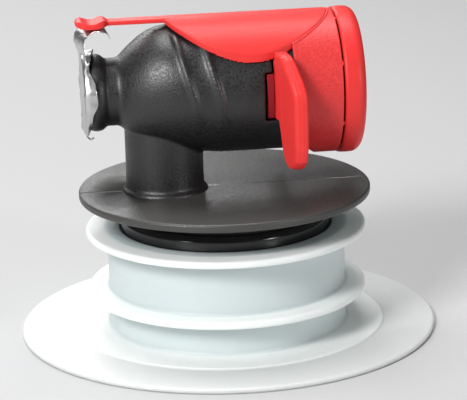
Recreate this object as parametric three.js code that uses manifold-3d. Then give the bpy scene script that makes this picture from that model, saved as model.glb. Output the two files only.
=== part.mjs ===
// Press tap for a liquid bag, plugged into its flanged bag spout.
// Millimetres, +Z up. Origin: centre of the weld flange's underside.
// +X runs along the barrel from the outlet to the push button.
import * as THREE from 'three';
import * as BufferGeometryUtils from 'three/addons/utils/BufferGeometryUtils.js';
import Module from 'manifold-3d';

// ---- driving dimensions ---------------------------------------------------
const FLANGE_R = 31.0, FLANGE_T = 0.8;          // thin weld flange
const STEP_R = 23.4, STEP_Z = 1.05;             // thicker inner step of the flange
const NECK_R = 17.7, BORE_R = 15.8;             // spout neck, outside and bore
const COLLAR1_R = 20.7, COLLAR1_Z = [5.8, 7.0]; // middle collar
const COLLAR2_R = 20.85, COLLAR2_Z = [14.9, 16.0]; // top collar
const SNAP_R = 14.75;                           // snap bead inside the bore
const SKIRT_R = 14.2, SKIRT_IN = 12.5;          // plug skirt of the tap
const DISC_R = 21.65, DISC_Z = [20.5, 21.7];     // cover disc
const STEM_X = -8.8, STEM_R = 5.75, STEM_BORE = 4.4; // upright inlet tube
const AXIS_Z = 36.8;                            // barrel axis height
const BARREL_R = 9.7, BARREL_END = 13.4, CAVITY_R = 7.4;
const NOZZLE_X = -20.0, NOZZLE_BORE = 4.4;      // outlet plane and outlet bore
const SEAT_X = [-15.2, -13.4], SEAT_R = 3.2;    // annular valve seat
const SHELL_IN = 9.95, SHELL_OUT = 10.7;        // tamper shield shell
const ELL_X = 3.7, ELL_A = 12.0, ELL_B = 8.7;   // plan outline of the shield
const COLLAR_X = [9.5, 16.45], COLLAR_OUT = 10.6; // tear collar
const CAP_X = [16.75, 19.9], CAP_R = 10.8;      // push button
const TRAVEL = 2.0;                             // button stroke
const SEG = 40, SEG_BIG = 48;

const wasm = await Module();
wasm.setup();

// ---- helpers --------------------------------------------------------------
function solid(geometry) {
  const g = geometry.index ? geometry.clone() : geometry.clone();
  g.deleteAttribute('normal');
  g.deleteAttribute('uv');
  const m = BufferGeometryUtils.mergeVertices(g, 1e-4);
  const pos = m.attributes.position.array, idx = m.index.array, tri = [];
  let volume = 0;
  for (let i = 0; i < idx.length; i += 3) {
    const [a, b, c] = [idx[i], idx[i + 1], idx[i + 2]];
    if (a === b || b === c || a === c) continue;
    tri.push(a, b, c);
    const A = new THREE.Vector3().fromArray(pos, 3 * a);
    const B = new THREE.Vector3().fromArray(pos, 3 * b);
    const C = new THREE.Vector3().fromArray(pos, 3 * c);
    volume += A.dot(B.cross(C));
  }
  if (volume < 0) for (let i = 0; i < tri.length; i += 3) [tri[i], tri[i + 1]] = [tri[i + 1], tri[i]];
  return new wasm.Manifold(new wasm.Mesh({
    numProp: 3, vertProperties: new Float32Array(pos), triVerts: new Uint32Array(tri),
  }));
}
function latheZ(points, seg = SEG) {   // points [r, z]
  const g = new THREE.LatheGeometry(points.map(([r, z]) => new THREE.Vector2(r, z)), seg);
  g.rotateX(Math.PI / 2);
  return solid(g);
}
function latheX(points, seg = SEG) {   // points [x, r], about the barrel axis
  const g = new THREE.LatheGeometry(points.map(([x, r]) => new THREE.Vector2(r, x)), seg);
  g.rotateZ(-Math.PI / 2);
  g.translate(0, 0, AXIS_Z);
  return solid(g);
}
function cylZ(x, y, r, z0, z1, seg = 40) {
  const g = new THREE.CylinderGeometry(r, r, z1 - z0, seg);
  g.rotateX(Math.PI / 2);
  g.translate(x, y, (z0 + z1) / 2);
  return solid(g);
}
function cylX(r, x0, x1, seg = SEG) {
  const g = new THREE.CylinderGeometry(r, r, x1 - x0, seg);
  g.rotateZ(-Math.PI / 2);
  g.translate((x0 + x1) / 2, 0, AXIS_Z);
  return solid(g);
}
function box(x0, x1, y0, y1, z0, z1) {
  const g = new THREE.BoxGeometry(x1 - x0, y1 - y0, z1 - z0);
  g.translate((x0 + x1) / 2, (y0 + y1) / 2, (z0 + z1) / 2);
  return solid(g);
}
function prism(points, depth) {        // polygon in its own plane, extruded along local +Z
  const g = new THREE.ExtrudeGeometry(new THREE.Shape(points.map(([a, b]) => new THREE.Vector2(a, b))),
    { depth, bevelEnabled: false, curveSegments: 8 });
  return g;
}
function mesh(name, body, color, roughness, metalness = 0, smooth = true) {
  const m = body.getMesh();
  const g = new THREE.BufferGeometry();
  const n = m.vertProperties.length / m.numProp, p = new Float32Array(n * 3);
  for (let i = 0; i < n; i++) for (let k = 0; k < 3; k++) p[3 * i + k] = m.vertProperties[i * m.numProp + k];
  g.setAttribute('position', new THREE.BufferAttribute(p, 3));
  g.setIndex(new THREE.BufferAttribute(new Uint32Array(m.triVerts), 1));
  g.computeVertexNormals();
  const o = new THREE.Mesh(g, new THREE.MeshStandardMaterial({ color, roughness, metalness, flatShading: !smooth }));
  o.name = name;
  return o;
}
const ring = (pts) => [...pts, pts[0]];

// ---- bag spout ------------------------------------------------------------
const bagSpout = latheZ(ring([
  [BORE_R, 0], [FLANGE_R, 0], [FLANGE_R, FLANGE_T - 0.35], [FLANGE_R - 0.35, FLANGE_T],
  [STEP_R + 0.3, FLANGE_T], [STEP_R, STEP_Z], [NECK_R + 0.5, STEP_Z], [NECK_R, STEP_Z + 0.5],
  [NECK_R, COLLAR1_Z[0] - 0.1], [COLLAR1_R - 0.3, COLLAR1_Z[0]], [COLLAR1_R, COLLAR1_Z[0] + 0.3],
  [COLLAR1_R, COLLAR1_Z[1] - 0.3], [COLLAR1_R - 0.3, COLLAR1_Z[1]], [NECK_R, COLLAR1_Z[1] + 0.1],
  [NECK_R, COLLAR2_Z[0] - 0.1], [COLLAR2_R - 0.3, COLLAR2_Z[0]], [COLLAR2_R, COLLAR2_Z[0] + 0.3],
  [COLLAR2_R, COLLAR2_Z[1] - 0.3], [COLLAR2_R - 0.3, COLLAR2_Z[1]], [BORE_R + 0.12, COLLAR2_Z[1]],
  [BORE_R, COLLAR2_Z[1] - 0.15], [BORE_R, 4.9], [SNAP_R, 4.4], [SNAP_R, 3.4], [BORE_R, 2.9],
]), SEG_BIG);

// ---- plug seal ring (soft, round the plug skirt) --------------------------
const sealRing = latheZ(ring([
  [14.5, 9.5], [15.2, 9.5], [15.55, 10.3], [15.55, 16.3], [15.42, 17.1], [15.1, 17.8], [14.5, 18.3],
]), SEG_BIG);

// ---- tap body -------------------------------------------------------------
const plugAndDisc = latheZ([
  [0, DISC_Z[0] - 0.3], [SKIRT_IN, DISC_Z[0] - 0.3], [SKIRT_IN, 1.2], [13.9, 1.2], [15.3, 2.2],
  [15.3, 2.6], [SKIRT_R, 2.6], [SKIRT_R, 18.65], [15.0, 18.75], [15.0, 19.6], [SKIRT_R, 19.8],
  [SKIRT_R, DISC_Z[0]], [DISC_R - 0.45, DISC_Z[0]], [DISC_R, DISC_Z[0] + 0.4],
  [DISC_R, DISC_Z[1] - 0.4], [DISC_R - 0.4, DISC_Z[1]], [0, DISC_Z[1]],
], SEG_BIG);
const stemProfile = [
  [0, 20.6], [6.4, 20.6], [6.4, DISC_Z[1]], [6.15, DISC_Z[1] + 0.3], [5.9, DISC_Z[1] + 0.55],
  [STEM_R, DISC_Z[1] + 1.0], [STEM_R, AXIS_Z - 1.0], [0, AXIS_Z - 1.0],
];
const stemTube = (() => {
  const g = new THREE.LatheGeometry(stemProfile.map(([r, z]) => new THREE.Vector2(r, z)), 32);
  g.rotateX(Math.PI / 2);
  g.translate(STEM_X, 0, 0);
  return solid(g);
})();
const barrelOuter = latheX([
  [NOZZLE_X, 0], [NOZZLE_X, 4.9], [-19.6, 5.4], [-18.9, 5.62], [-18.0, 5.62], [-17.3, 5.35],
  [-17.0, 5.0], [-15.4, 5.0], [-14.9, 5.25], [-13.9, 6.2], [-12.9, 7.1], [-11.9, 7.8], [-10.9, 8.35],
  [-9.8, 8.8], [-8.5, 9.15], [-6.5, 9.5], [-4.0, BARREL_R], [BARREL_END, BARREL_R], [BARREL_END, 0],
]);
const cavity = latheX([
  [NOZZLE_X - 2, 0], [NOZZLE_X - 2, NOZZLE_BORE], [SEAT_X[0], NOZZLE_BORE], [SEAT_X[0], SEAT_R],
  [SEAT_X[1], SEAT_R], [-11.6, 5.6], [-9.4, 6.8], [-6.5, CAVITY_R], [8.8, CAVITY_R], [8.8, 8.4],
  [BARREL_END + 2, 8.4], [BARREL_END + 2, 0],
]);
// seat for the finger grip's saddle, open over the top of the barrel
const SADDLE_X = [5.55, 7.2], WEB_X = 6.65, SADDLE_Z = [33.5, 40.0];
const saddleSeat = cylX(12, SADDLE_X[0] - 0.3, SADDLE_X[1] + 0.3)
  .subtract(cylX(8.4, SADDLE_X[0] - 1, SADDLE_X[1] + 1))
  .intersect(box(SADDLE_X[0] - 1, SADDLE_X[1] + 1, -13, 13, SADDLE_Z[0] - 0.3, SADDLE_Z[1] + 0.3)
    .add(box(WEB_X - 0.3, SADDLE_X[1] + 1, -13, 13, SADDLE_Z[0] - 0.3, 52)));
const tapBody = plugAndDisc.add(stemTube).add(barrelOuter)
  .subtract(cylZ(STEM_X, 0, STEM_BORE, 19, AXIS_Z - 3))
  .subtract(cavity)
  .subtract(saddleSeat);

// ---- finger grip: saddle over the barrel with two wings -------------------
// inner edge of each wing clears the tear collar, which slides past inside it
const arc = [];
for (let i = 0; i <= 8; i++) {
  const t = THREE.MathUtils.degToRad(-18 + i * 54 / 8);
  arc.push([10.95 * Math.cos(t), AXIS_Z + 10.95 * Math.sin(t)]);
}
const wingOutline = [
  ...arc, [9.4, 43.4], [11.0, 43.25], [12.0, 42.7], [13.5, 41.35], [15.0, 39.9], [16.0, 38.6], [16.3, 37.3], [16.35, 34.0],
  [16.25, 30.4], [15.8, 28.4], [14.8, 27.3], [13.3, 27.0], [12.1, 27.8], [11.4, 29.4], [10.95, 31.5],
];
function wing(side) {
  const g = prism(wingOutline, 1.9);
  // local (a, b, c) -> (X = c, Y = side * a, Z = b), swept towards the button with distance
  const p = g.attributes.position;
  for (let i = 0; i < p.count; i++) {
    const a = p.getX(i), b = p.getY(i), c = p.getZ(i);
    p.setXYZ(i, WEB_X + c + 0.28 * Math.max(0, a - 9.7), side * a, b);
  }
  // web that joins the wing to the saddle, on the outlet side of the collar's travel
  const web = (inner, z0, z1) => {
    const w = prism([[WEB_X, inner], [WEB_X, 9.9], [7.2, 11.8], [7.6, 11.8], [7.6, 10.97], [7.2, 10.97], [7.2, inner]]
      .map(([x, y]) => [x, side * y]), z1 - z0);
    w.translate(0, 0, z0);
    return solid(w);
  };
  return solid(g).add(web(8.8, 33.6, 42.9));
}
const saddle = cylX(9.45, SADDLE_X[0], SADDLE_X[1])
  .intersect(box(0, 12, -13, 13, SADDLE_Z[0], SADDLE_Z[1]))
  .add(cylX(9.65, WEB_X, SADDLE_X[1]).intersect(box(0, 12, -13, 13, SADDLE_Z[0], 52)))
  .subtract(cylX(8.7, SADDLE_X[0] - 1, SADDLE_X[1] + 1));
const fingerGrip = saddle.add(wing(1)).add(wing(-1));

// ---- return diaphragm and its retainer ------------------------------------
const diaphragm = latheX(ring([
  [9.1, 8.1], [9.1, 7.12], [5.0, 7.12], [3.3, 6.3], [2.3, 4.6], [1.9, 2.9], [0.9, 2.9],
  [0.9, 1.95], [2.9, 1.95], [2.9, 3.4], [3.7, 5.6], [5.3, 6.82], [9.7, 6.82], [9.7, 8.1],
]), 28);
const retainer = latheX(ring([
  [10.0, 8.1], [10.0, 6.9], [11.2, 6.9], [11.6, 7.2], [11.6, 8.1],
]), 28);

// ---- push button ----------------------------------------------------------
const buttonCap = latheX([
  [18.7, 0], [18.7, 1.2], [18.7, 1.9], [14.4, 1.9], [14.4, 3.1], [18.5, 3.1], [18.5, 5.9],
  [10.6, 5.9], [10.6, 6.5], [18.3, 6.5], [18.3, 9.5], [CAP_X[0], 9.6], [CAP_X[0], CAP_R - 0.15],
  [CAP_X[0] + 0.15, CAP_R], [CAP_X[1] - 0.75, CAP_R], [CAP_X[1] - 0.25, CAP_R - 0.22],
  [CAP_X[1], CAP_R - 0.75], [CAP_X[1], 8.6], [CAP_X[1] - 0.35, 4.0], [CAP_X[1] - 0.45, 0],
]);
const valveStem = latheX([
  [-16.6, 0], [-16.6, 1.6], [0.2, 1.6], [0.2, 2.7], [0.6, 2.7], [0.6, 1.6], [18.2, 1.6], [18.2, 0],
], 20);
const outletPlug = latheX([
  [-16.95, 0], [-16.95, 1.9], [-15.5, 1.9], [-15.5, 3.85], [-16.3, 3.85], [-17.1, 3.3],
  [-17.5, 2.2], [-17.6, 0],
], 20);

// ---- tear collar ----------------------------------------------------------
function ellipsePrism(a, b) {
  const s = new THREE.Shape();
  s.absellipse(ELL_X, 0, a, b, 0, Math.PI * 2, false, 0);
  const g = new THREE.ExtrudeGeometry(s, { depth: 20, bevelEnabled: false, curveSegments: 40 });
  g.translate(0, 0, AXIS_Z);
  return solid(g);
}
const sideCut = (() => {
  const g = prism([[8, 20], [13.1, 20], [13.1, 26.6], [11.3, 28.4], [9.1, 31.0], [8, 31.0]], 30);
  g.rotateX(Math.PI / 2);               // polygon into XZ, depth along -Y
  g.translate(0, 15, 0);
  return solid(g);
})();
let tearCollar = cylX(COLLAR_OUT, COLLAR_X[0], COLLAR_X[1]).subtract(cylX(SHELL_IN, COLLAR_X[0] - 1, COLLAR_X[1] + 1))
  .subtract(ellipsePrism(ELL_A + 0.1, ELL_B + 0.1)).subtract(sideCut);
// break-off bridges across the seam, stopping just short of the button
for (const deg of [20, 65, 115, 160, 205, 250, 290, 335]) {
  const g = new THREE.BoxGeometry(0.5, 0.9, 0.45);
  g.translate(COLLAR_X[1] - 0.1, 0, 10.3);
  g.rotateX(THREE.MathUtils.degToRad(deg));
  g.translate(0, 0, AXIS_Z);
  tearCollar = tearCollar.add(solid(g));
}

// ---- tamper shield with its tongue and pull tab ---------------------------
const TONGUE_TOP = AXIS_Z + SHELL_OUT;  // 47.5
const padShape = new THREE.Shape();
padShape.absellipse(0, 0, 2.5, 2.35, 0, Math.PI * 2, false, 0);
const pad = (() => {
  const pts = [];
  for (let i = 0; i < 28; i++) {        // squarish oval
    const t = i / 28 * Math.PI * 2, c = Math.cos(t), s = Math.sin(t);
    pts.push([Math.sign(c) * Math.pow(Math.abs(c), 0.7) * 2.45 - 18.75, Math.sign(s) * Math.pow(Math.abs(s), 0.7) * 2.4]);
  }
  const g = prism(pts, 0.9);
  g.translate(0, 0, TONGUE_TOP - 0.9);
  return solid(g);
})();
const tamperShield = cylX(SHELL_OUT, -9, 16).subtract(cylX(SHELL_IN, -10, 17))
  .intersect(ellipsePrism(ELL_A - 0.12, ELL_B - 0.12))
  .add(box(-16.6, -7.6, -1.25, 1.25, TONGUE_TOP - 0.72, TONGUE_TOP))
  .add(pad)
  .add(box(-20.7, -20.0, -1.7, 1.7, TONGUE_TOP - 0.3, TONGUE_TOP + 0.25))
  .add(box(-17.5, -16.8, -1.7, 1.7, TONGUE_TOP - 0.3, TONGUE_TOP + 0.25));

// ---- foil seal over the outlet, with its grip tab -------------------------
const foilDisc = latheX([
  [-20.5, 0], [-20.5, 6.2], [-18.7, 6.3], [-18.7, 6.05], [-20.25, 5.95], [-20.25, 0],
], 40);
function strip(path, thickness, halfWidth) {   // path of [x, z], thickened to one side
  const left = [], right = [];
  for (let i = 0; i < path.length; i++) {
    const a = path[Math.max(0, i - 1)], b = path[Math.min(path.length - 1, i + 1)];
    const dx = b[0] - a[0], dz = b[1] - a[1], l = Math.hypot(dx, dz);
    left.push([path[i][0] - dz / l * thickness / 2, path[i][1] + dx / l * thickness / 2]);
    right.push([path[i][0] + dz / l * thickness / 2, path[i][1] - dx / l * thickness / 2]);
  }
  const g = prism([...left, ...right.reverse()], halfWidth * 2);
  g.rotateX(Math.PI / 2);
  g.translate(0, halfWidth, 0);
  return solid(g);
}
const foilTab = strip([[-20.38, 40.5], [-20.3, 41.7], [-20.9, 42.9], [-21.2, 44.2], [-20.9, 45.2],
  [-20.3, 45.8], [-19.1, 46.2], [-17.9, 46.3], [-17.0, 46.1], [-16.4, 45.3]], 0.2, 3.6);
const foilTail = strip([[-20.38, 33.5], [-20.4, 31.2], [-20.1, 30.2], [-19.5, 29.7]], 0.25, 1.0);
const foilSeal = foilDisc.add(foilTab).add(foilTail);

// ---- scene graph ----------------------------------------------------------
const RED = 0xc21f24, BLACK = 0x1b1b1c;
const root = new THREE.Group();
const spout = new THREE.Group(), tap = new THREE.Group(), button = new THREE.Group();
spout.add(mesh('bag_spout', bagSpout, 0xe9f1ee, 0.45));
tap.add(mesh('tap_body', tapBody, BLACK, 0.55));
tap.add(mesh('plug_seal_ring', sealRing, 0x0c0c0d, 0.12));
tap.add(mesh('finger_grip', fingerGrip, RED, 0.45));
tap.add(mesh('diaphragm_retainer', retainer, 0xe4e2da, 0.5));
tap.add(mesh('foil_seal', foilSeal, 0xc9c9cb, 0.3, 1));
button.add(mesh('return_diaphragm', diaphragm, 0xd9d6cc, 0.4));
button.add(mesh('button_cap', buttonCap, RED, 0.42));
button.add(mesh('tear_collar', tearCollar, RED, 0.45));
button.add(mesh('valve_stem', valveStem, 0xe4e2da, 0.5));
button.add(mesh('outlet_plug', outletPlug, 0xd9d6cc, 0.4));
button.add(mesh('tamper_shield', tamperShield, RED, 0.45));
root.add(spout, tap, button);

export default root;
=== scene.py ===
import math

import bpy
import numpy as np
from mathutils import Matrix, Vector


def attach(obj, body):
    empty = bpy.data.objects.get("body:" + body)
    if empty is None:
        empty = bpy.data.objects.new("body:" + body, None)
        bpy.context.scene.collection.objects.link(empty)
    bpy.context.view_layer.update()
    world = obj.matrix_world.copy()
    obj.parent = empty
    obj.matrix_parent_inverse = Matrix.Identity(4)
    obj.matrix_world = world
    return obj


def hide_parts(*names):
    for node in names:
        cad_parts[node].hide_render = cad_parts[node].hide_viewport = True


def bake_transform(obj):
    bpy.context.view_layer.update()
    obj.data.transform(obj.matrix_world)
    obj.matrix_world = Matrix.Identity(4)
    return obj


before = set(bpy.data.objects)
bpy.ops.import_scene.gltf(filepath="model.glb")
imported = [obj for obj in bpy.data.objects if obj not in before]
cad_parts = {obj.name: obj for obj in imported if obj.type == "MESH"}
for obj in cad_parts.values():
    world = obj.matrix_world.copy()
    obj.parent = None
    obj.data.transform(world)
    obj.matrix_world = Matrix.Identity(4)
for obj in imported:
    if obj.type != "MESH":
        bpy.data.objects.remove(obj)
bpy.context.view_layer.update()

MM = 0.001
AXIS_Z = 36.8          # barrel axis height, mm
TAU = 2 * math.pi


# ---------------------------------------------------------------- helpers
def new_object(name, verts, faces, smooth=True):
    """A mesh object from millimetre vertices."""
    me = bpy.data.meshes.new(name)
    me.from_pydata([tuple(float(c) * MM for c in v) for v in verts], [], faces)
    me.validate()
    ob = bpy.data.objects.new(name, me)
    bpy.context.scene.collection.objects.link(ob)
    bpy.context.view_layer.objects.active = ob
    import bmesh
    bm = bmesh.new()
    bm.from_mesh(me)
    bmesh.ops.recalc_face_normals(bm, faces=bm.faces)
    bm.to_mesh(me)
    bm.free()
    if smooth:
        me.shade_smooth()
    return ob


def fillet(points, radius, n=5, closed=False, skip=()):
    """Rounds the corners of a polyline with arcs."""
    pts = [np.array(p, float) for p in points]
    m = len(pts)
    out = []
    for i, p in enumerate(pts):
        if (not closed and i in (0, m - 1)) or i in skip:
            out.append(p)
            continue
        a, b = pts[(i - 1) % m], pts[(i + 1) % m]
        u, v = a - p, b - p
        lu, lv = np.linalg.norm(u), np.linalg.norm(v)
        if lu < 1e-6 or lv < 1e-6:
            out.append(p)
            continue
        u, v = u / lu, v / lv
        ang = math.acos(max(-1, min(1, float(u @ v))))
        if ang > math.radians(172):
            out.append(p)
            continue
        t = min(radius / math.tan(ang / 2), 0.45 * lu, 0.45 * lv)
        r = t * math.tan(ang / 2)
        c = p + (u + v) / np.linalg.norm(u + v) * (r / math.sin(ang / 2))
        s, e = p + u * t - c, p + v * t - c
        k = max(2, int(round(n * (math.pi - ang) / (math.pi / 2))) + 1)
        for j in range(k + 1):
            f = j / k
            w = s * (1 - f) + e * f
            w = w / np.linalg.norm(w) * r
            out.append(c + w)
    return [tuple(p) for p in out]


def lathe(name, profile, seg=160, axis="Z", closed=False, origin=(0, 0, 0), warp=None):
    """profile: (along, radius). Open profiles start and end on the axis."""
    prof = list(profile)
    verts, faces, rows = [], [], []
    for a, r in prof:
        if r < 1e-6:
            rows.append([len(verts)])
            verts.append((a, 0.0, 0.0))
        else:
            row = []
            for k in range(seg):
                t = TAU * k / seg
                row.append(len(verts))
                verts.append((a, r * math.cos(t), r * math.sin(t)))
            rows.append(row)
    pairs = [(i, i + 1) for i in range(len(rows) - 1)]
    if closed:
        pairs.append((len(rows) - 1, 0))
    for i, j in pairs:
        A, B = rows[i], rows[j]
        if len(A) == 1 and len(B) == 1:
            continue
        if len(A) == 1:
            faces += [(A[0], B[(k + 1) % seg], B[k]) for k in range(seg)]
        elif len(B) == 1:
            faces += [(A[k], A[(k + 1) % seg], B[0]) for k in range(seg)]
        else:
            faces += [(A[k], A[(k + 1) % seg], B[(k + 1) % seg], B[k]) for k in range(seg)]
    out = []
    for a, c, s in verts:
        if axis == "Z":
            p = (c + origin[0], s + origin[1], a + origin[2])
        else:                      # along +X; cos is up, sin is +Y
            p = (a + origin[0], s + origin[1], c + origin[2])
        out.append(warp(*p) if warp else p)
    return new_object(name, out, faces)


def prism(name, outline, depth, place, layers=1):
    """outline (a, b) swept through depth; place(a, b, c) gives the point."""
    verts, faces = [], []
    n = len(outline)
    for k in range(layers + 1):
        c = depth * k / layers
        verts += [place(a, b, c) for a, b in outline]
    for k in range(layers):
        for i in range(n):
            j = (i + 1) % n
            faces.append((k * n + i, k * n + j, (k + 1) * n + j, (k + 1) * n + i))
    faces.append(tuple(range(n)))
    faces.append(tuple(reversed(range(layers * n, (layers + 1) * n))))
    return new_object(name, verts, faces)


def box(name, x0, x1, y0, y1, z0, z1):
    return prism(name, [(x0, y0), (x1, y0), (x1, y1), (x0, y1)], z1 - z0,
                 lambda a, b, c: (a, b, z0 + c))


def apply_mods(ob):
    dg = bpy.context.evaluated_depsgraph_get()
    me = bpy.data.meshes.new_from_object(ob.evaluated_get(dg), depsgraph=dg)
    old = ob.data
    ob.modifiers.clear()
    ob.data = me
    bpy.data.meshes.remove(old)


def combine(ob, others, op):
    for o in others:
        m = ob.modifiers.new("b", "BOOLEAN")
        m.operation = op
        m.solver = "MANIFOLD"
        m.object = o
    apply_mods(ob)
    for o in others:
        me = o.data
        bpy.data.objects.remove(o)
        bpy.data.meshes.remove(me)
    return ob


def remesh(ob, voxel, smooth=4, factor=0.5):
    m = ob.modifiers.new("r", "REMESH")
    m.mode = "VOXEL"
    m.voxel_size = voxel * MM
    m.adaptivity = 0.0
    if smooth:
        s = ob.modifiers.new("s", "SMOOTH")
        s.factor = factor
        s.iterations = smooth
    apply_mods(ob)
    ob.data.shade_smooth()
    return ob


# ---------------------------------------------------------------- materials
def material(name, color, roughness, metallic=0.0, grain=0.3, grain_size=0.35,
             rough_var=0.08, colour_var=0.06, wave=0.0, speckle=0.0, **extra):
    """Moulded plastic or metal: fine surface grain, soft unevenness, slight colour drift."""
    mat = bpy.data.materials.new(name)
    mat.use_nodes = True
    nt = mat.node_tree
    bsdf = next(n for n in nt.nodes if n.type == "BSDF_PRINCIPLED")
    bsdf.inputs["Metallic"].default_value = metallic
    for k, v in extra.items():
        bsdf.inputs[k.replace("_", " ")].default_value = v
    tc = nt.nodes.new("ShaderNodeTexCoord")

    def noise(size_mm, detail=2.0, rough=0.5):
        n = nt.nodes.new("ShaderNodeTexNoise")
        n.inputs["Scale"].default_value = 1.0 / (size_mm * MM)
        n.inputs["Detail"].default_value = detail
        n.inputs["Roughness"].default_value = rough
        nt.links.new(tc.outputs["Object"], n.inputs["Vector"])
        return n

    def ramp(src, lo, hi, a=0.3, b=0.7):
        r = nt.nodes.new("ShaderNodeMapRange")
        r.inputs["From Min"].default_value = a
        r.inputs["From Max"].default_value = b
        r.inputs["To Min"].default_value = lo
        r.inputs["To Max"].default_value = hi
        nt.links.new(src, r.inputs["Value"])
        return r

    big = noise(6.0, 3.0)
    fine = noise(grain_size, 2.0, 0.6)
    # colour: slow drift plus a little of the grain
    mix = nt.nodes.new("ShaderNodeMix")
    mix.data_type = "RGBA"
    c = np.array(color)
    mix.inputs[6].default_value = (*np.clip(c * (1 - colour_var), 0, 1), 1)
    mix.inputs[7].default_value = (*np.clip(c * (1 + colour_var), 0, 1), 1)
    f = ramp(big.outputs["Fac"], 0.0, 1.0)
    nt.links.new(f.outputs["Result"], mix.inputs[0])
    nt.links.new(mix.outputs[2], bsdf.inputs["Base Color"])
    if speckle:
        sp = ramp(fine.outputs["Fac"], 1 - speckle, 1 + speckle, 0.35, 0.65)
        vm = nt.nodes.new("ShaderNodeVectorMath")
        vm.operation = "SCALE"
        nt.links.new(mix.outputs[2], vm.inputs[0])
        nt.links.new(sp.outputs["Result"], vm.inputs["Scale"])
        nt.links.new(vm.outputs[0], bsdf.inputs["Base Color"])
    rr = ramp(fine.outputs["Fac"], roughness - rough_var, roughness + rough_var)
    nt.links.new(rr.outputs["Result"], bsdf.inputs["Roughness"])
    b1 = nt.nodes.new("ShaderNodeBump")
    b1.inputs["Strength"].default_value = grain
    b1.inputs["Distance"].default_value = 0.05 * MM
    nt.links.new(fine.outputs["Fac"], b1.inputs["Height"])
    if wave:
        mid = noise(1.6, 3.0, 0.55)
        b2 = nt.nodes.new("ShaderNodeBump")
        b2.inputs["Strength"].default_value = wave
        b2.inputs["Distance"].default_value = 0.12 * MM
        nt.links.new(mid.outputs["Fac"], b2.inputs["Height"])
        nt.links.new(b1.outputs["Normal"], b2.inputs["Normal"])
        nt.links.new(b2.outputs["Normal"], bsdf.inputs["Normal"])
    else:
        nt.links.new(b1.outputs["Normal"], bsdf.inputs["Normal"])
    return mat


BLACK = material("black_polypropylene", (0.0065, 0.0065, 0.007), 0.45, grain=0.8, grain_size=0.30, rough_var=0.12, wave=0.05, speckle=0.3, Specular_IOR_Level=0.74)
# The disc gets a lighter copy of the same black moulding: a painted sheen.
BLACK_DISC_PAINTED_SHEEN = material("black_polypropylene_disc_painted_sheen", (0.052, 0.051, 0.049), 0.43, grain=0.7, grain_size=0.36, rough_var=0.1)
SEAL = material("glossy_seal_rubber", (0.010, 0.010, 0.011), 0.17, grain=0.03, grain_size=0.8, rough_var=0.03)
RED = material("red_polypropylene", (0.74, 0.036, 0.034), 0.43, grain=0.2, grain_size=0.45, rough_var=0.05, Specular_IOR_Level=0.27,
               Subsurface_Weight=0.12, Subsurface_Radius=(1.0, 0.12, 0.08), Subsurface_Scale=0.0006)
RED_GRAIN = material("red_polypropylene_grained", (0.68, 0.034, 0.034), 0.44, grain=1.0, grain_size=0.22, rough_var=0.12, speckle=0.13,
                     Subsurface_Weight=0.08, Subsurface_Radius=(1.0, 0.12, 0.08), Subsurface_Scale=0.0005)
# A darker copy of the red: painted shade for the saddle seen through the barrel window, under the wing.
RED_PAINTED_SHADE = material("red_polypropylene_painted_shade", (0.26, 0.010, 0.018), 0.5, grain=0.2, grain_size=0.45, Specular_IOR_Level=0.2)
LDPE = material("milky_polyethylene", (0.86, 0.90, 0.885), 0.42, grain=0.08, grain_size=0.9, rough_var=0.05, colour_var=0.02, wave=0.03,
                Subsurface_Weight=0.6, Subsurface_Radius=(1.0, 1.1, 1.08), Subsurface_Scale=0.0028)
NATURAL = material("natural_polymer", (0.80, 0.77, 0.70), 0.45, grain=0.15)
ELASTOMER = material("soft_elastomer", (0.70, 0.67, 0.60), 0.38, grain=0.1,
                     Subsurface_Weight=0.2, Subsurface_Radius=(1.0, 0.8, 0.6), Subsurface_Scale=0.001)
FOIL = material("crinkled_foil", (0.58, 0.58, 0.585), 0.36, metallic=1.0, grain=0.12, grain_size=0.6, rough_var=0.06, wave=0.35)


def paint_thin_wall_shade(mat, colour, r_mm=18.0, soft=0.35):
    """Painted shade: the thin neck wall is painted a little darker and bluer than the thick collars, standing in for
    the dark hollow seen through it.
    """
    nt = mat.node_tree
    bsdf = next(n for n in nt.nodes if n.type == "BSDF_PRINCIPLED")
    tc = next(n for n in nt.nodes if n.type == "TEX_COORD")
    sep = nt.nodes.new("ShaderNodeSeparateXYZ")
    nt.links.new(tc.outputs["Object"], sep.inputs[0])
    comb = nt.nodes.new("ShaderNodeCombineXYZ")
    nt.links.new(sep.outputs[0], comb.inputs[0])
    nt.links.new(sep.outputs[1], comb.inputs[1])
    ln = nt.nodes.new("ShaderNodeVectorMath")
    ln.operation = "LENGTH"
    nt.links.new(comb.outputs[0], ln.inputs[0])
    mr = nt.nodes.new("ShaderNodeMapRange")
    mr.inputs["From Min"].default_value = (r_mm - soft) * MM
    mr.inputs["From Max"].default_value = (r_mm + soft) * MM
    nt.links.new(ln.outputs["Value"], mr.inputs["Value"])
    mix = nt.nodes.new("ShaderNodeMix")
    mix.data_type = "RGBA"
    mix.inputs[6].default_value = (*colour, 1)
    src = bsdf.inputs["Base Color"].links[0].from_socket
    nt.links.new(mr.outputs["Result"], mix.inputs[0])
    nt.links.new(src, mix.inputs[7])
    nt.links.new(mix.outputs[2], bsdf.inputs["Base Color"])


# Painted shade on the thin neck wall.
paint_thin_wall_shade(LDPE, (0.57, 0.635, 0.64))


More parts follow.
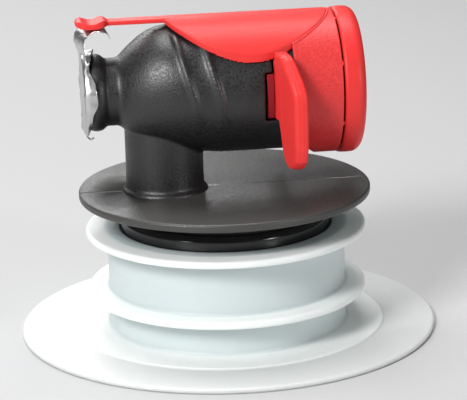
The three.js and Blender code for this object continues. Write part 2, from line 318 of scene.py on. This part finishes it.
def paint_flange_shade(mat, colour, z_mm=0.93, soft=0.06):
    """Painted shade: the thin weld flange is painted a darker grey than the thicker moulding above it."""
    nt = mat.node_tree
    bsdf = next(n for n in nt.nodes if n.type == "BSDF_PRINCIPLED")
    tc = nt.nodes.new("ShaderNodeTexCoord")
    sep = nt.nodes.new("ShaderNodeSeparateXYZ")
    nt.links.new(tc.outputs["Object"], sep.inputs[0])
    mr = nt.nodes.new("ShaderNodeMapRange")
    mr.inputs["From Min"].default_value = (z_mm - soft) * MM
    mr.inputs["From Max"].default_value = (z_mm + soft) * MM
    nt.links.new(sep.outputs["Z"], mr.inputs["Value"])
    mix = nt.nodes.new("ShaderNodeMix")
    mix.data_type = "RGBA"
    mix.inputs[6].default_value = (*colour, 1)
    src = bsdf.inputs["Base Color"].links[0].from_socket
    nt.links.new(mr.outputs["Result"], mix.inputs[0])
    nt.links.new(src, mix.inputs[7])
    nt.links.new(mix.outputs[2], bsdf.inputs["Base Color"])


# Painted shade on the weld flange.
paint_flange_shade(LDPE, (0.66, 0.68, 0.675))


def piece(ob, mat, body, node=None):
    ob.data.materials.clear()
    ob.data.materials.append(mat)
    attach(ob, body)
    if node:
        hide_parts(node)
    return ob


# ---------------------------------------------------------------- bag spout
R0 = 15.8
spout_profile = [
    (0, R0), (0, 31.0), (0.8, 31.0), (0.8, 23.45), (1.1, 23.2), (1.1, 17.7), (5.8, 17.7), (5.8, 20.7),
    (7.0, 20.7), (7.0, 17.7), (14.9, 17.7), (14.9, 20.85), (16.0, 20.85), (16.0, R0 + 0.12), (15.85, R0),
    (4.9, R0), (4.4, 14.75), (3.4, 14.75), (2.9, R0)]
spout = lathe("spout_moulding", fillet(spout_profile, 0.42, 6, closed=True), 320, "Z", closed=True)
piece(spout, LDPE, "spout", "bag_spout")

# ---------------------------------------------------------------- seal ring
seal_profile = [(9.5, 14.5), (9.5, 15.2), (10.3, 15.55), (16.1, 15.57), (17.3, 15.5), (18.0, 15.05), (18.3, 14.5)]
seal = lathe("seal_ring", fillet(seal_profile, 0.5, 6, closed=True), 240, "Z", closed=True)
piece(seal, SEAL, "tap", "plug_seal_ring")

# ---------------------------------------------------------------- plug and disc
disc_profile = [
    (20.2, 0), (20.2, 12.5), (1.2, 12.5), (1.2, 13.9), (2.2, 15.3), (2.6, 15.3), (2.6, 14.2), (18.65, 14.2),
    (18.75, 15.0), (19.6, 15.0), (19.8, 14.2), (20.5, 14.2), (20.5, 21.65), (21.7, 21.65), (21.7, 0)]
disc = lathe("plug_and_disc", fillet(disc_profile, 0.38, 5), 256, "Z")
hole = lathe("hole", [(18, 0), (18, 4.4), (24, 4.4), (24, 0)], 96, "Z", origin=(-8.8, 0, 0))
grooves = [box("g1", -24.0, -14.3, -0.09, 0.09, 21.58, 22.5), box("g2", 8.2, 12.6, -0.07, 0.07, 21.60, 22.5),
           box("g3", 12.6, 18.4, 0.10, 0.24, 21.60, 22.5)]
combine(disc, [hole] + grooves, "DIFFERENCE")
disc.data.shade_smooth()
# The disc wears the lighter black, a painted sheen.
piece(disc, BLACK_DISC_PAINTED_SHEEN, "tap", "tap_body")


# ---------------------------------------------------------------- barrel
def smoothstep(a, b, x):
    t = max(0.0, min(1.0, (x - a) / (b - a)))
    return t * t * (3 - 2 * t)


SHEAR = 0.26


def shear_amount(x):
    return smoothstep(-15.2, -5.5, x) * (1 - smoothstep(0.5, 5.0, x))


def barrel_warp(x, y, z):
    """The dome and its ribs lean towards the outlet at the top; the ribs fade out low down and under the shield."""
    dz = z - AXIS_Z
    r = math.hypot(y, dz)
    if -6.0 < x < 0.6 and r > 9.0:
        plain = 9.38 + 0.32 * (1 - (1 - smoothstep(-6.6, -2.0, x)) ** 1.3)
        keep = smoothstep(-5.2, 0.5, dz) * (1 - smoothstep(8.6, 9.4, dz))
        f = (plain + (r - plain) * keep) / r
        y, dz = y * f, dz * f
    return (x - SHEAR * shear_amount(x) * dz, y, AXIS_Z + dz)


dome = [(-20.0, 0), (-20.0, 4.85), (-19.65, 5.38), (-19.1, 5.62), (-18.4, 5.68), (-17.75, 5.5), (-17.3, 5.15),
        (-17.05, 4.98), (-15.45, 4.98), (-15.0, 5.25), (-13.75, 6.35), (-12.45, 7.25), (-11.1, 7.98),
        (-9.75, 8.5), (-8.2, 8.98), (-7.0, 9.24), (-6.1, 9.38)]


def spline(points, sub=6):
    """Catmull-Rom through the points, keeping the two ends."""
    p = [np.array(q, float) for q in points]
    out = []
    for i in range(len(p) - 1):
        p0, p1, p2, p3 = p[max(0, i - 1)], p[i], p[i + 1], p[min(len(p) - 1, i + 2)]
        for k in range(sub):
            t = k / sub
            out.append(tuple(0.5 * ((2 * p1) + (p2 - p0) * t + (2 * p0 - 5 * p1 + 4 * p2 - p3) * t * t
                                    + (3 * p1 - p0 - 3 * p2 + p3) * t ** 3)))
    out.append(tuple(p[-1]))
    return out


bead = spline(dome[1:9], 4)
shoulder = spline(dome[9:], 5)


def bump(x, c, w, h):
    d = abs(x - c) / w
    return h * (1 - d * d) ** 2 if d < 1 else 0.0


body_rows = []
x = -6.0
while x <= 13.0:
    r = 9.38 + 0.32 * (1 - (1 - smoothstep(-6.6, -2.0, x)) ** 1.3)
    # two slanting ribs with a shallow trough between them
    r += bump(x, -4.95, 0.8, 0.36) + bump(x, -1.15, 0.8, 0.36) - bump(x, -3.0, 1.5, 0.12)
    body_rows.append((x, r))
    x += 0.13
profile = [(-20.0, 0)] + bead + shoulder[:-1] + body_rows + [(13.15, 9.7), (13.4, 9.45), (13.4, 0)]
barrel = lathe("tap_barrel", profile, 220, "X", origin=(0, 0, AXIS_Z), warp=barrel_warp)
stem_profile = [(20.9, 0), (20.9, 6.35), (21.75, 6.35)] + spline(
    [(21.95, 6.3), (22.15, 6.1), (22.3, 5.9), (22.6, 5.78), (23.2, 5.75)], 3) + [(AXIS_Z - 1, 5.75), (AXIS_Z - 1, 0)]
stem = lathe("stem", stem_profile, 160, "Z", origin=(-8.8, 0, 0))
combine(barrel, [stem], "UNION")
bore = lathe("bore", [(18, 0), (18, 4.4), (AXIS_Z - 3, 4.4), (AXIS_Z - 3, 0)], 96, "Z", origin=(-8.8, 0, 0))
cavity = lathe("cavity", [(-22, 0), (-22, 4.4), (-15.2, 4.4), (-15.2, 3.2), (-13.4, 3.2), (-11.6, 5.2), (-9.4, 6.4),
                          (-6.5, 7.3), (8.8, 7.4), (8.8, 8.4), (15, 8.4), (15, 0)], 128, "X", origin=(0, 0, AXIS_Z))
seat_ring = lathe("seat_ring", [(5.25, 8.4), (5.25, 12), (7.5, 12), (7.5, 8.4)], 128, "X", closed=True, origin=(0, 0, AXIS_Z))
seat_box = box("seat_box", 4.5, 9.5, -13, 13, 33.2, 40.3)
combine(seat_box, [box("seat_box2", 6.35, 9.5, -13, 13, 33.2, 52)], "UNION")
combine(seat_ring, [seat_box], "INTERSECT")
combine(barrel, [bore, cavity, seat_ring], "DIFFERENCE")
remesh(barrel, 0.19, 3)
piece(barrel, BLACK, "tap", "tap_body")

# ---------------------------------------------------------------- finger grip
arc = []
for i in range(13):
    t = math.radians(-18 + 54 * i / 12)
    arc.append((10.93 * math.cos(t), AXIS_Z + 10.93 * math.sin(t)))
wing_outline = arc + fillet([arc[-1], (9.4, 43.4), (11.0, 43.25), (12.0, 42.7), (13.5, 41.35), (15.0, 39.9), (16.0, 38.6),
                             (16.3, 37.3), (16.35, 34.0), (16.25, 30.4), (15.8, 28.4), (14.8, 27.3), (13.3, 27.0),
                             (12.1, 27.8), (11.4, 29.4), (10.95, 31.5), arc[0]], 1.0, 5)[1:-1]


WIND = 1 if sum(wing_outline[i - 1][0] * wing_outline[i][1] - wing_outline[i][0] * wing_outline[i - 1][1]
                for i in range(len(wing_outline))) > 0 else -1


def inset(outline, d):
    out = []
    n = len(outline)
    for i in range(n):
        (x0, y0), (x1, y1) = outline[i - 2], outline[(i + 2) % n]
        tx, ty = x1 - x0, y1 - y0
        m = math.hypot(tx, ty) or 1
        out.append((outline[i][0] - ty / m * d * WIND, outline[i][1] + tx / m * d * WIND))
    return out


def wing(side, thick=1.9):
    """A cushion-shaped plate with well rounded edges and a fine parting line round its rim."""
    def place(a, b, c):
        m = max(0.0, 1 - ((a - 13.2) / 3.6) ** 2) * max(0.0, 1 - ((b - 35.3) / 8.6) ** 2)
        return (6.65 + c + 0.28 * max(0.0, a - 9.7) + 0.13 * m * (c / thick * 2 - 1), side * a, b)
    rings = []
    rr = 0.5
    for k in range(6):
        t = k / 5 * math.pi / 2
        rings.append((rr * (1 - math.sin(t)), rr * (1 - math.cos(t))))
    mid = thick / 2
    rings = rings + [(-0.0, mid - 0.12), (-0.07, mid - 0.05), (-0.07, mid + 0.05), (-0.0, mid + 0.12)]
    rings = [(d, c) for d, c in rings] + [(d, thick - c) for d, c in reversed(rings[:6])]
    verts, faces = [], []
    n = len(wing_outline)
    for d, c in rings:
        verts += [place(a, b, c) for a, b in inset(wing_outline, d)]
    for k in range(len(rings) - 1):
        for i in range(n):
            j = (i + 1) % n
            faces.append((k * n + i, k * n + j, (k + 1) * n + j, (k + 1) * n + i))
    faces.append(tuple(range(n)))
    faces.append(tuple(reversed(range((len(rings) - 1) * n, len(rings) * n))))
    plate = new_object("wing", verts, faces)
    web = prism("web", [(6.65, 8.8), (6.65, 9.9), (7.2, 11.8), (7.6, 11.8), (7.6, 10.97), (7.2, 10.97), (7.2, 8.8)],
                42.9 - 33.6, lambda a, b, c: (a, side * b, 33.6 + c))
    return combine(plate, [web], "UNION")


grip = lathe("finger_saddle", [(5.55, 8.7), (5.55, 9.2), (6.6, 9.2), (6.6, 8.7)], 160, "X", closed=True, origin=(0, 0, AXIS_Z))
combine(grip, [box("b", 3, 12, -13, 13, 33.5, 40.0)], "INTERSECT")
band = lathe("band", [(6.65, 8.7), (6.65, 9.65), (7.2, 9.65), (7.2, 8.7)], 160, "X", closed=True, origin=(0, 0, AXIS_Z))
combine(band, [box("b", 3, 12, -13, 13, 33.5, 52)], "INTERSECT")
combine(band, [wing(-1), wing(1)], "UNION")
remesh(band, 0.10, 5)
band.name = "finger_wings"
piece(band, RED, "tap", "finger_grip")
remesh(grip, 0.10, 2)
# The saddle wears the darker red, painted shade.
piece(grip, RED_PAINTED_SHADE, "tap", "finger_grip")

# ---------------------------------------------------------------- push button
cap_profile = [
    (18.7, 0), (18.7, 1.9), (14.4, 1.9), (14.4, 3.1), (18.5, 3.1), (18.5, 5.9), (10.6, 5.9), (10.6, 6.5),
    (18.3, 6.5), (18.3, 9.5), (16.75, 9.6), (16.75, 10.74)]
cap_outer = spline([(16.93, 10.79), (18.2, 10.8), (18.9, 10.72), (19.45, 10.42), (19.8, 9.95), (19.92, 9.35),
                    (19.85, 8.4), (19.65, 6.0), (19.5, 3.0), (19.45, 0)], 5)
cap = lathe("push_button", fillet(cap_profile, 0.18, 3) + cap_outer[1:], 256, "X", origin=(0, 0, AXIS_Z))
piece(cap, RED, "button", "button_cap")


# ---------------------------------------------------------------- tear collar
def ellipse(a, b, n=160, cx=3.7):
    return [(cx + a * math.cos(TAU * k / n), b * math.sin(TAU * k / n)) for k in range(n)]


collar = lathe("collar_sleeve", [(9.5, 9.95), (9.5, 10.6), (16.45, 10.6), (16.45, 9.95)], 256, "X", closed=True,
               origin=(0, 0, AXIS_Z))
ell = prism("ell", ellipse(12.02, 8.72), 20, lambda a, b, c: (a, b, AXIS_Z + c))
# fine raised tear line where the shield meets the collar
tear = lathe("tear", [(9.5, 10.2), (9.5, 10.72), (16.2, 10.72), (16.2, 10.2)], 256, "X", closed=True, origin=(0, 0, AXIS_Z))
combine(tear, [prism("e2", ellipse(12.24, 8.94), 20, lambda a, b, c: (a, b, AXIS_Z + c))], "INTERSECT")
combine(collar, [tear], "UNION")
cut = prism("cut", [(8, 20), (13.1, 20), (13.1, 26.6), (11.3, 28.4), (9.1, 31.0), (8, 31.0)], 30, lambda a, b, c: (a, c - 15, b))
combine(collar, [ell, cut], "DIFFERENCE")
bridges = []
for deg in (20, 65, 115, 160, 205, 250, 290, 335):
    b = box("bridge", 15.9, 16.68, -0.3, 0.3, 10.05, 10.55)
    b.data.transform(Matrix.Translation((0, 0, AXIS_Z * MM)) @ Matrix.Rotation(math.radians(deg), 4, "X"))
    bridges.append(b)
combine(collar, bridges, "UNION")
remesh(collar, 0.09, 2)
piece(collar, RED_GRAIN, "button", "tear_collar")

# ---------------------------------------------------------------- tamper shield
RO, RI = 10.7, 9.95
shield = lathe("shield_shell", [(-9, RI), (-9, RO), (16, RO), (16, RI)], 256, "X", closed=True, origin=(0, 0, AXIS_Z))
combine(shield, [prism("e", ellipse(11.97, 8.67), 20, lambda a, b, c: (a, b, AXIS_Z + c))], "INTERSECT")
TOP = AXIS_Z + RO


def tab_outline(n=72):
    """Side view of the strip and its pull tab: (x, z)."""
    top = spline([(-7.4, TOP - 0.03), (-9.0, TOP - 0.02), (-12.5, TOP - 0.02), (-16.2, TOP - 0.04), (-16.6, TOP + 0.08),
                  (-17.1, TOP + 0.24), (-17.6, TOP + 0.16), (-18.3, TOP - 0.14), (-19.2, TOP - 0.16), (-19.9, TOP + 0.06),
                  (-20.4, TOP + 0.22), (-20.9, TOP + 0.1), (-21.15, TOP - 0.25)], 4)
    low = spline([(-21.1, TOP - 0.5), (-20.6, TOP - 0.78), (-19.6, TOP - 0.96), (-18.4, TOP - 0.98), (-17.2, TOP - 0.84),
                  (-16.4, TOP - 0.66), (-12.5, TOP - 0.66), (-9.0, TOP - 0.66), (-7.4, TOP - 0.66)], 4)
    return top + low


side = prism("side", tab_outline(), 5.2, lambda a, b, c: (a, c - 2.6, b))
plan = []
for k in range(40):
    t = TAU * k / 40
    c, s = math.cos(t), math.sin(t)
    plan.append((math.copysign(abs(c) ** 0.7, c) * 2.45 - 18.75, math.copysign(abs(s) ** 0.7, s) * 2.4))
pad_plan = prism("pp", plan, 6, lambda a, b, c: (a, b, 44 + c))
strip_plan = box("sp", -17, -7, -1.3, 1.3, 44, 50)
combine(pad_plan, [strip_plan], "UNION")
combine(side, [pad_plan], "INTERSECT")
combine(shield, [side], "UNION")
remesh(shield, 0.1, 4)
piece(shield, RED, "shield", "tamper_shield")

# ---------------------------------------------------------------- inner pieces
stem_rod = lathe("stem_rod", fillet([(-16.6, 0), (-16.6, 1.6), (0.2, 1.6), (0.2, 2.7), (0.6, 2.7), (0.6, 1.6), (18.2, 1.6),
                                     (18.2, 0)], 0.15, 3), 64, "X", origin=(0, 0, AXIS_Z))
piece(stem_rod, NATURAL, "button", "valve_stem")
plug = lathe("plug_seat_seal", fillet([(-16.95, 0), (-16.95, 1.9), (-15.5, 1.9), (-15.5, 3.85), (-16.3, 3.85), (-17.1, 3.3),
                                       (-17.5, 2.2), (-17.6, 0)], 0.25, 4), 96, "X", origin=(0, 0, AXIS_Z))
piece(plug, ELASTOMER, "button", "outlet_plug")
keeper = lathe("diaphragm_keeper", fillet([(10.0, 8.1), (10.0, 6.9), (11.2, 6.9), (11.6, 7.2), (11.6, 8.1)], 0.15, 3, closed=True),
               128, "X", closed=True, origin=(0, 0, AXIS_Z))
piece(keeper, NATURAL, "tap", "diaphragm_retainer")
dia = lathe("return_cup", fillet([
    (9.1, 8.1), (9.1, 7.12), (5.0, 7.12), (3.3, 6.3), (2.3, 4.6), (1.9, 2.9), (0.9, 2.9), (0.9, 1.95), (2.9, 1.95),
    (2.9, 3.4), (3.7, 5.6), (5.3, 6.82), (9.7, 6.82), (9.7, 8.1)], 0.3, 4, closed=True), 128, "X", closed=True,
    origin=(0, 0, AXIS_Z))
dia.data.materials.append(ELASTOMER)
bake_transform(dia)
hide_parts("return_diaphragm")

# ---------------------------------------------------------------- foil seal
rng = np.random.default_rng(11)
ph = rng.uniform(0, TAU, 12)


def crinkle(a, b, s=1.0):
    """Smooth sum of folds, in millimetres."""
    return s * (0.5 * math.sin(1.7 * a + 0.9 * b + ph[0]) + 0.4 * math.sin(-1.1 * a + 2.3 * b + ph[1])
                + 0.3 * math.sin(3.3 * a + 1.9 * b + ph[2]) + 0.25 * math.sin(2.1 * a - 4.3 * b + ph[3])
                + 0.15 * math.sin(6.1 * a + 5.3 * b + ph[4]))


def foil_sheet():
    verts, faces = [], []
    nr, nt = 22, 150
    rows = []
    for i in range(nr + 1):
        row = []
        for k in range(nt):
            t = TAU * k / nt          # t = 0 up, increasing towards +Y
            if i <= 14:                # flat part
                r = 5.95 * (i / 14)
                x = -20.40 - 0.12 * abs(crinkle(0.6 * r * math.cos(t), 0.6 * r * math.sin(t))) * min(1, r / 2)
            else:                      # bent back over the bead
                f = (i - 14) / (nr - 14)
                length = 1.35 + 0.30 * math.sin(3 * t + 0.4) + 0.22 * math.sin(5 * t + 2.1) + 0.10 * math.sin(11 * t + 1.0)
                length = max(0.35, length - 0.95 * max(0.0, -math.cos(t)) ** 1.5)
                x = -20.36 + f * length
                r = 5.95 + 0.24 * math.sin(min(1, f * 2.2) * math.pi / 2) + f * (0.09 * math.sin(9 * t + 0.5) + 0.07 * math.sin(17 * t))
            row.append(len(verts))
            verts.append((x, r * math.sin(t), AXIS_Z + r * math.cos(t)))
        rows.append(row)
    for i in range(nr):
        A, B = rows[i], rows[i + 1]
        for k in range(nt):
            j = (k + 1) % nt
            if i == 0:
                continue
            faces.append((A[k], A[j], B[j], B[k]))
    # close the middle
    c = len(verts)
    verts.append((-20.40, 0, AXIS_Z))
    for k in range(nt):
        faces.append((c, rows[1][(k + 1) % nt], rows[1][k]))
    used = sorted({v for f in faces for v in f})
    back = {v: i for i, v in enumerate(used)}
    return [verts[v] for v in used], [tuple(back[v] for v in f) for f in faces]


def ribbon(path, width, twist, nw=18, sub=8, amp=0.10):
    """A bent foil ribbon. path (x, z); width and twist are functions of 0..1 along it."""
    line = spline(path, sub)
    verts, faces = [], []
    n = len(line)
    for i, (px, pz) in enumerate(line):
        f = i / (n - 1)
        a, b = np.array(line[max(0, i - 1)]), np.array(line[min(n - 1, i + 1)])
        d = (b - a) / np.linalg.norm(b - a)
        nx, nz = -d[1], d[0]
        for k in range(nw + 1):
            y = (k / nw * 2 - 1) * width(f)
            w = crinkle(i * 0.22, y, amp) * min(1, f * 4)
            verts.append((px + nx * w - y * twist(f), y + 0.12 * math.sin(i * 0.35), pz + nz * w))
    for i in range(n - 1):
        for k in range(nw):
            a = i * (nw + 1) + k
            faces.append((a, a + 1, a + nw + 2, a + nw + 1))
    return verts, faces


def foil_object(name, data):
    ob = new_object(name, *data)
    m = ob.modifiers.new("t", "SOLIDIFY")
    m.thickness = 0.09 * MM
    m.offset = 0
    apply_mods(ob)
    ob.data.shade_smooth()
    return piece(ob, FOIL, "foil", "foil_seal")


foil_object("foil_cap", foil_sheet())
foil_object("foil_tab", ribbon(
    [(-20.40, 39.6), (-20.36, 40.8), (-20.25, 41.9), (-20.45, 43.0), (-20.65, 44.1), (-20.5, 45.1), (-19.95, 45.85),
     (-19.0, 46.30), (-18.0, 46.38), (-17.1, 46.17), (-16.6, 45.75), (-16.4, 45.2)],
    lambda f: 3.7 - 0.9 * f, lambda f: 0.15 * min(1, f * 3) * (1 - 0.75 * smoothstep(0.5, 0.85, f)), amp=0.035))
foil_object("foil_tail", ribbon(
    [(-20.42, 33.6), (-20.4, 31.6), (-20.25, 30.7), (-19.95, 30.1), (-19.45, 29.75), (-19.2, 30.15)],
    lambda f: 1.5 - 1.0 * f, lambda f: 0.15, nw=8, sub=6))

# ---------------------------------------------------------------- studio
floor = new_object("floor", [(-1500, -1500, 0), (1500, -1500, 0), (1500, 1500, 0), (-1500, 1500, 0)], [(0, 1, 2, 3)])
fm = bpy.data.materials.new("floor")
fm.use_nodes = True
fb = next(n for n in fm.node_tree.nodes if n.type == "BSDF_PRINCIPLED")
fb.inputs["Base Color"].default_value = (0.52, 0.52, 0.525, 1)
fb.inputs["Roughness"].default_value = 0.8
floor.data.materials.append(fm)

world = bpy.data.worlds.new("studio")
bpy.context.scene.world = world
world.use_nodes = True
bg = next(n for n in world.node_tree.nodes if n.type == "BACKGROUND")
bg.inputs["Color"].default_value = (1, 1, 1, 1)
bg.inputs["Strength"].default_value = 0.07


def area(name, loc, target, size, power):
    d = bpy.data.lights.new(name, "AREA")
    d.shape = "RECTANGLE"
    d.size, d.size_y = size
    d.energy = power
    o = bpy.data.objects.new(name, d)
    bpy.context.scene.collection.objects.link(o)
    o.location = loc
    o.rotation_euler = (Vector(target) - Vector(loc)).to_track_quat("-Z", "Y").to_euler()
    return o


T = (0, 0, 0.03)
area("key", (-0.24, -0.28, 0.28), T, (0.13, 0.13), 1.75)
area("top", (-0.02, 0.13, 0.48), T, (0.30, 0.22), 1.85)
area("back", (-0.12, 0.45, 0.24), T, (0.36, 0.12), 0.85)
area("low_right", (0.29, -0.31, 0.13), T, (0.05, 0.08), 0.44)
area("low_left", (-0.33, -0.27, 0.13), T, (0.05, 0.08), 0.22)
bpy.context.scene.view_settings.view_transform = "Standard"
bpy.context.scene.view_settings.look = "None"

# ---------------------------------------------------------------- camera
AZ, EL, ROLL = math.radians(-6.9), math.radians(15.64), math.radians(1.70)
DIST, FOCAL_PX = 0.3489, 2342.0
OX, OY = -8.87, -4.64
back = Vector((math.sin(AZ) * math.cos(EL), -math.cos(AZ) * math.cos(EL), math.sin(EL)))
right = (-back).cross(Vector((0, 0, 1))).normalized()
up = right.cross(-back)
r2 = right * math.cos(ROLL) - up * math.sin(ROLL)
u2 = right * math.sin(ROLL) + up * math.cos(ROLL)
cam_data = bpy.data.cameras.new("camera")
cam = bpy.data.objects.new("camera", cam_data)
bpy.context.scene.collection.objects.link(cam)
m = Matrix((r2, u2, back)).transposed().to_4x4()
m.translation = back * DIST + Vector((0, 0, 0.020))
cam.matrix_world = m
cam_data.sensor_width = 36.0
cam_data.lens = 36.0 * FOCAL_PX / 467.0
cam_data.shift_x = -OX / 467.0
cam_data.shift_y = OY / 467.0
cam_data.clip_start = 0.01
bpy.context.scene.camera = cam
